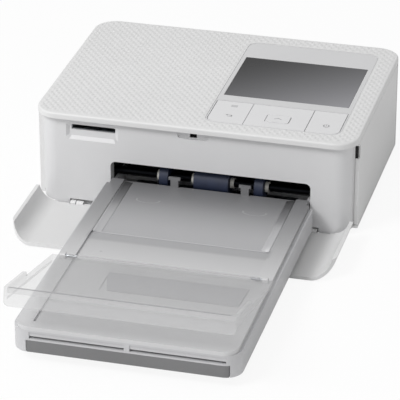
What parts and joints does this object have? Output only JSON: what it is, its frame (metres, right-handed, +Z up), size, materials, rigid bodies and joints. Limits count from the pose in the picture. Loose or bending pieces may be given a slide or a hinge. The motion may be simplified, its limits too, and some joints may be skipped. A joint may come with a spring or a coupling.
{
  "type": "compact photo printer",
  "caption": "Compact photo printer with a fold-down front door, a slide-in paper cassette with an output flap, a control panel with a display, and a side door for its ink cartridge.",
  "frame": {"origin": "on the table, under the middle of the whole object's box", "axes": "+Z up; the front, with the cassette, faces -Y; +X to the right seen from the front"},
  "size_m": [0.1822, 0.309, 0.0576],
  "materials": {
    "shell": "fine satin moulding",
    "panel": "satin moulding",
    "foot_rubber": "matt",
    "steel": "plain rolled sheet and ground shafts",
    "display_glass": "hard-coated window over a dark display",
    "black_plastic": "matt moulding",
    "key_plastic": "satin moulding",
    "circuit_board": "solder mask",
    "roller_rubber": "ground rubber",
    "black_rubber": "ground rubber",
    "gear_plastic": "acetal",
    "brass": "machined",
    "aluminium": "extruded heat sink",
    "dark_plastic": "satin moulding",
    "ribbon_plastic": "wound ribbon",
    "clear_plastic": "milky translucent moulding",
    "bar_plastic": "satin moulding"
  },
  "bodies": {
    "body": {"bottom_case": "shell", "casing": "shell", "front_panel": "panel", "top_cover": "shell", "rubber_feet": "foot_rubber", "case_screws": "steel", "panel_bezel": "panel", "lcd_window": "display_glass", "lcd_module": "black_plastic", "key_board": "circuit_board", "front_door_pins": "steel", "door_catch": "black_plastic", "side_door_pins": "steel", "card_socket": "steel", "main_board": "circuit_board", "dc_inlet": "black_plastic", "chassis_plate": "steel", "left_frame": "steel", "right_frame": "steel", "feed_guide": "black_plastic", "idler_pins": "steel", "platen_bushes": "gear_plastic", "motor": "steel", "head_bridge": "steel"},
    "menu_key": {"menu_rocker": "key_plastic"},
    "pad_key": {"four_way_pad": "key_plastic"},
    "ok_button": {"ok_key": "key_plastic"},
    "power_button": {"power_key": "key_plastic"},
    "door": {"front_door": "panel"},
    "cartridge_door": {"side_door": "shell"},
    "pickup": {"pickup_shaft": "steel", "pickup_rollers": "roller_rubber", "shaft_collars": "gear_plastic", "pickup_gear": "gear_plastic"},
    "idler_one": {"idler_b": "gear_plastic"},
    "idler_two": {"idler_c": "gear_plastic"},
    "transfer": {"transfer_gear": "gear_plastic"},
    "platen": {"platen_shaft": "steel", "platen_sleeve": "black_rubber", "platen_gear": "gear_plastic"},
    "feed": {"feed_roller": "steel", "feed_gear": "gear_plastic"},
    "pinch": {"pinch_roller": "black_rubber"},
    "pinion": {"motor_pinion": "brass"},
    "ribbon_drive": {"spool_drive": "gear_plastic"},
    "print_head": {"thermal_head": "aluminium"},
    "cartridge": {"ribbon_case": "dark_plastic", "ribbon_film": "ribbon_plastic"},
    "supply": {"supply_spool": "ribbon_plastic"},
    "takeup": {"takeup_spool": "ribbon_plastic"},
    "lever": {"eject_lever": "dark_plastic"},
    "cassette": {"cassette_tray": "clear_plastic", "cassette_bar": "bar_plastic", "cassette_deck": "clear_plastic", "flap_pins": "steel"},
    "lid": {"cassette_lid": "clear_plastic"},
    "flap": {"output_flap": "clear_plastic"},
    "lift": {"lift_plate": "steel"}
  },
  "joints": [
    {"name": "menu_rocker_press", "type": "hinge", "parent": "body", "child": "menu_key", "pos_m": [0.0151, 0.04702, 0.0559], "axis": [1, 0, 0], "range_deg": [-1.2, 1.2], "stiffness_Nm_per_rad": 0.1},
    {"name": "pad_press", "type": "slide", "parent": "body", "child": "pad_key", "axis": [0, 0, -1], "range_m": [0, 0.0004], "stiffness_N_per_m": 400, "springref_m": -0.0008},
    {"name": "ok_press", "type": "slide", "parent": "body", "child": "ok_button", "axis": [0, 0, -1], "range_m": [0, 0.0004], "stiffness_N_per_m": 400, "springref_m": -0.0008},
    {"name": "power_press", "type": "slide", "parent": "body", "child": "power_button", "axis": [0, 0, -1], "range_m": [0, 0.0004], "stiffness_N_per_m": 400, "springref_m": -0.0008},
    {"name": "front_door_hinge", "type": "hinge", "parent": "body", "child": "door", "pos_m": [0, 0.02352, 0.002], "axis": [-1, 0, 0], "range_deg": [0, 2.5]},
    {"name": "side_door_hinge", "type": "hinge", "parent": "body", "child": "cartridge_door", "pos_m": [0.09, 0.13992, 0.029], "axis": [0, 0, 1], "range_deg": [0, 95]},
    {"name": "cartridge_slide", "type": "slide", "parent": "body", "child": "cartridge", "axis": [1, 0, 0], "range_m": [0, 0.02239]},
    {"name": "eject_lever_pivot", "type": "hinge", "parent": "body", "child": "lever", "pos_m": [0.0743, 0.06102, 0.036], "axis": [1, 0, 0], "range_deg": [0, 15], "stiffness_Nm_per_rad": 0.02, "springref_deg": -11.46},
    {"name": "cassette_slide", "type": "slide", "parent": "body", "child": "cassette", "axis": [0, -1, 0], "range_m": [0, 0.2]},
    {"name": "flap_hinge", "type": "hinge", "parent": "cassette", "child": "flap", "pos_m": [0.0095, -0.07148, 0.0214], "axis": [-1, 0, 0], "range_deg": [-13.2, 80]},
    {"name": "lid_hinge", "type": "hinge", "parent": "cassette", "child": "lid", "pos_m": [0.0095, -0.03688, 0.01875], "axis": [1, 0, 0], "range_deg": [0, 3]},
    {"name": "lift_plate_hinge", "type": "hinge", "parent": "cassette", "child": "lift", "pos_m": [0.0095, 0.00752, 0.0113], "axis": [1, 0, 0], "range_deg": [0, 2]},
    {"name": "platen_spin", "type": "hinge", "parent": "body", "child": "platen", "pos_m": [0, 0.10152, 0.024], "axis": [1, 0, 0], "continuous": true},
    {"name": "idler_one_spin", "type": "hinge", "parent": "body", "child": "idler_one", "pos_m": [0, 0.08047, 0.03166], "axis": [1, 0, 0], "continuous": true},
    {"name": "idler_two_spin", "type": "hinge", "parent": "body", "child": "idler_two", "pos_m": [0, 0.05178, 0.02916], "axis": [1, 0, 0], "continuous": true},
    {"name": "pickup_spin", "type": "hinge", "parent": "body", "child": "pickup", "pos_m": [0, 0.03352, 0.021], "axis": [1, 0, 0], "continuous": true},
    {"name": "pinion_spin", "type": "hinge", "parent": "body", "child": "pinion", "pos_m": [0, 0.08047, 0.01326], "axis": [1, 0, 0], "continuous": true},
    {"name": "transfer_spin", "type": "hinge", "parent": "body", "child": "transfer", "pos_m": [0, 0.11945, 0.01713], "axis": [1, 0, 0], "continuous": true},
    {"name": "feed_spin", "type": "hinge", "parent": "body", "child": "feed", "pos_m": [0, 0.13567, 0.0274], "axis": [1, 0, 0], "continuous": true},
    {"name": "pinch_spin", "type": "hinge", "parent": "body", "child": "pinch", "pos_m": [0, 0.13567, 0.0332], "axis": [1, 0, 0], "continuous": true},
    {"name": "ribbon_drive_spin", "type": "hinge", "parent": "body", "child": "ribbon_drive", "pos_m": [0, 0.12352, 0.039], "axis": [1, 0, 0], "continuous": true},
    {"name": "takeup_spin", "type": "hinge", "parent": "cartridge", "child": "takeup", "pos_m": [0, 0.12352, 0.039], "axis": [1, 0, 0], "continuous": true},
    {"name": "supply_spin", "type": "hinge", "parent": "cartridge", "child": "supply", "pos_m": [0, 0.07952, 0.039], "axis": [1, 0, 0], "continuous": true},
    {"name": "print_head_slide", "type": "slide", "parent": "body", "child": "print_head", "axis": [0, 0, -1], "range_m": [0, 0.0028], "stiffness_N_per_m": 150, "springref_m": -0.004}
  ],
  "couplings": [
    {"joint": "idler_one_spin", "follows": "platen_spin", "ratio": -0.55556},
    {"joint": "idler_two_spin", "follows": "platen_spin", "ratio": 0.55556},
    {"joint": "pickup_spin", "follows": "platen_spin", "ratio": -1.4286},
    {"joint": "pinion_spin", "follows": "platen_spin", "ratio": 2},
    {"joint": "transfer_spin", "follows": "platen_spin", "ratio": -0.71429},
    {"joint": "feed_spin", "follows": "platen_spin", "ratio": 1},
    {"joint": "pinch_spin", "follows": "platen_spin", "ratio": -0.83333},
    {"joint": "ribbon_drive_spin", "follows": "platen_spin", "ratio": -0.90909},
    {"joint": "takeup_spin", "follows": "platen_spin", "ratio": -0.90909},
    {"joint": "supply_spin", "follows": "platen_spin", "ratio": -0.90909},
    {"joint": "cartridge_slide", "follows": "side_door_hinge", "m_per_rad": 0.0135}
  ]
}
